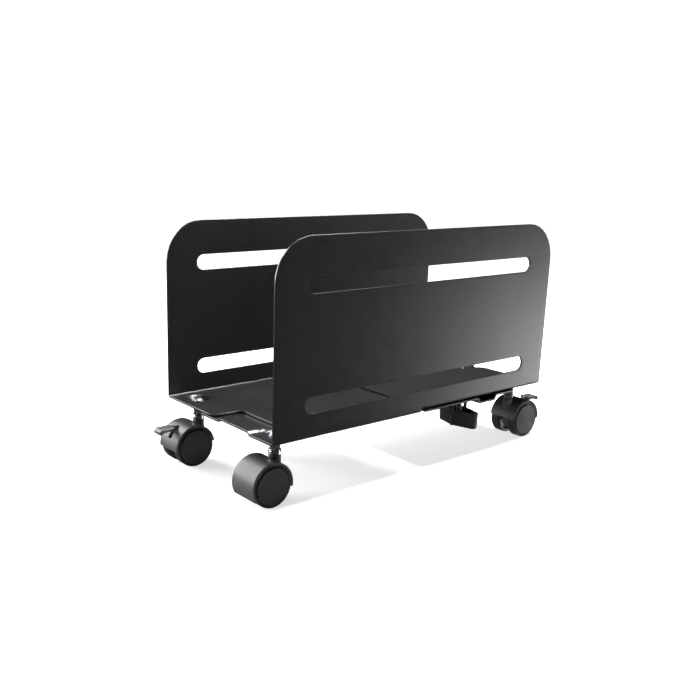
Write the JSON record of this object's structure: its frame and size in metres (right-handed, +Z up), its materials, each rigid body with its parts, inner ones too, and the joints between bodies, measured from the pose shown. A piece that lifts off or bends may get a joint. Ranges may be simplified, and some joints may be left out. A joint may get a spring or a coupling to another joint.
{
  "type": "mobile computer stand",
  "caption": "Low steel cradle on swivel casters that holds a desktop computer tower upright between two slotted side panels, with adjustable width.",
  "frame": {"origin": "on the ground, under the middle of the stand", "axes": "+X across the width towards the right side panel, +Y along the length from the front to the rear, +Z up"},
  "size_m": [0.176, 0.4126, 0.234],
  "materials": {
    "powder_coated_steel": "satin black powder coat",
    "zinc_plated_steel": "bright zinc plating",
    "hood_plastic": "satin black moulded nylon",
    "wheel_plastic": "hard black nylon tread",
    "cap_plastic": "fine-textured black plastic disc",
    "knob_plastic": "matte black moulded plastic"
  },
  "bodies": {
    "left_side": {"left_bracket": "powder_coated_steel", "rear_clamp_nut": "zinc_plated_steel", "front_left_stem": "zinc_plated_steel", "front_left_nut": "zinc_plated_steel", "front_left_spacer": "hood_plastic", "rear_left_stem": "zinc_plated_steel", "rear_left_nut": "zinc_plated_steel", "rear_left_spacer": "hood_plastic"},
    "right_side": {"right_bracket": "powder_coated_steel", "front_clamp_nut": "zinc_plated_steel", "front_right_stem": "zinc_plated_steel", "front_right_nut": "zinc_plated_steel", "front_right_spacer": "hood_plastic", "rear_right_stem": "zinc_plated_steel", "rear_right_nut": "zinc_plated_steel", "rear_right_spacer": "hood_plastic"},
    "front_left_caster": {"front_left_hood": "hood_plastic", "front_left_axle": "zinc_plated_steel", "front_left_brake_pin": "zinc_plated_steel"},
    "front_left_left_roller": {"front_left_left_wheel": "wheel_plastic", "front_left_left_cap": "cap_plastic"},
    "front_left_right_roller": {"front_left_right_wheel": "wheel_plastic", "front_left_right_cap": "cap_plastic"},
    "front_left_brake": {"front_left_brake_lever": "hood_plastic"},
    "front_right_caster": {"front_right_hood": "hood_plastic", "front_right_axle": "zinc_plated_steel"},
    "front_right_left_roller": {"front_right_left_wheel": "wheel_plastic", "front_right_left_cap": "cap_plastic"},
    "front_right_right_roller": {"front_right_right_wheel": "wheel_plastic", "front_right_right_cap": "cap_plastic"},
    "rear_left_caster": {"rear_left_hood": "hood_plastic", "rear_left_axle": "zinc_plated_steel"},
    "rear_left_left_roller": {"rear_left_left_wheel": "wheel_plastic", "rear_left_left_cap": "cap_plastic"},
    "rear_left_right_roller": {"rear_left_right_wheel": "wheel_plastic", "rear_left_right_cap": "cap_plastic"},
    "rear_right_caster": {"rear_right_hood": "hood_plastic", "rear_right_axle": "zinc_plated_steel", "rear_right_brake_pin": "zinc_plated_steel"},
    "rear_right_left_roller": {"rear_right_left_wheel": "wheel_plastic", "rear_right_left_cap": "cap_plastic"},
    "rear_right_right_roller": {"rear_right_right_wheel": "wheel_plastic", "rear_right_right_cap": "cap_plastic"},
    "rear_right_brake": {"rear_right_brake_lever": "hood_plastic"},
    "front_clamp": {"front_clamp_screw": "zinc_plated_steel", "front_clamp_knob": "knob_plastic"},
    "rear_clamp": {"rear_clamp_screw": "zinc_plated_steel", "rear_clamp_knob": "knob_plastic"}
  },
  "joints": [
    {"name": "width_slide", "type": "slide", "parent": "left_side", "child": "right_side", "axis": [1, 0, 0], "range_m": [-0.005, 0.085]},
    {"name": "front_left_swivel", "type": "hinge", "parent": "left_side", "child": "front_left_caster", "pos_m": [-0.063, -0.16, 0.045], "axis": [0, 0, 1], "continuous": true},
    {"name": "front_left_left_roll", "type": "hinge", "parent": "front_left_caster", "child": "front_left_left_roller", "pos_m": [-0.063, -0.1728, 0.0195], "axis": [1, 0, 0], "continuous": true},
    {"name": "front_left_right_roll", "type": "hinge", "parent": "front_left_caster", "child": "front_left_right_roller", "pos_m": [-0.063, -0.1728, 0.0195], "axis": [1, 0, 0], "continuous": true},
    {"name": "front_left_brake_press", "type": "hinge", "parent": "front_left_caster", "child": "front_left_brake", "pos_m": [-0.063, -0.1823, 0.031], "axis": [1, 0, 0], "range_deg": [0, 20]},
    {"name": "front_right_swivel", "type": "hinge", "parent": "right_side", "child": "front_right_caster", "pos_m": [0.063, -0.16, 0.045], "axis": [0, 0, 1], "continuous": true},
    {"name": "front_right_left_roll", "type": "hinge", "parent": "front_right_caster", "child": "front_right_left_roller", "pos_m": [0.063, -0.1728, 0.0195], "axis": [1, 0, 0], "continuous": true},
    {"name": "front_right_right_roll", "type": "hinge", "parent": "front_right_caster", "child": "front_right_right_roller", "pos_m": [0.063, -0.1728, 0.0195], "axis": [1, 0, 0], "continuous": true},
    {"name": "rear_left_swivel", "type": "hinge", "parent": "left_side", "child": "rear_left_caster", "pos_m": [-0.063, 0.16, 0.045], "axis": [0, 0, 1], "continuous": true},
    {"name": "rear_left_left_roll", "type": "hinge", "parent": "rear_left_caster", "child": "rear_left_left_roller", "pos_m": [-0.063, 0.1728, 0.0195], "axis": [1, 0, 0], "continuous": true},
    {"name": "rear_left_right_roll", "type": "hinge", "parent": "rear_left_caster", "child": "rear_left_right_roller", "pos_m": [-0.063, 0.1728, 0.0195], "axis": [1, 0, 0], "continuous": true},
    {"name": "rear_right_swivel", "type": "hinge", "parent": "right_side", "child": "rear_right_caster", "pos_m": [0.063, 0.16, 0.045], "axis": [0, 0, 1], "continuous": true},
    {"name": "rear_right_left_roll", "type": "hinge", "parent": "rear_right_caster", "child": "rear_right_left_roller", "pos_m": [0.063, 0.1728, 0.0195], "axis": [1, 0, 0], "continuous": true},
    {"name": "rear_right_right_roll", "type": "hinge", "parent": "rear_right_caster", "child": "rear_right_right_roller", "pos_m": [0.063, 0.1728, 0.0195], "axis": [1, 0, 0], "continuous": true},
    {"name": "rear_right_brake_press", "type": "hinge", "parent": "rear_right_caster", "child": "rear_right_brake", "pos_m": [0.063, 0.1823, 0.031], "axis": [-1, 0, 0], "range_deg": [0, 20]},
    {"name": "front_clamp_turn", "type": "hinge", "parent": "right_side", "child": "front_clamp", "pos_m": [-0.05, -0.0945, 0.045], "axis": [0, 0, 1], "continuous": true},
    {"name": "rear_clamp_turn", "type": "hinge", "parent": "left_side", "child": "rear_clamp", "pos_m": [0.05, 0.0945, 0.045], "axis": [0, 0, 1], "continuous": true}
  ]
}
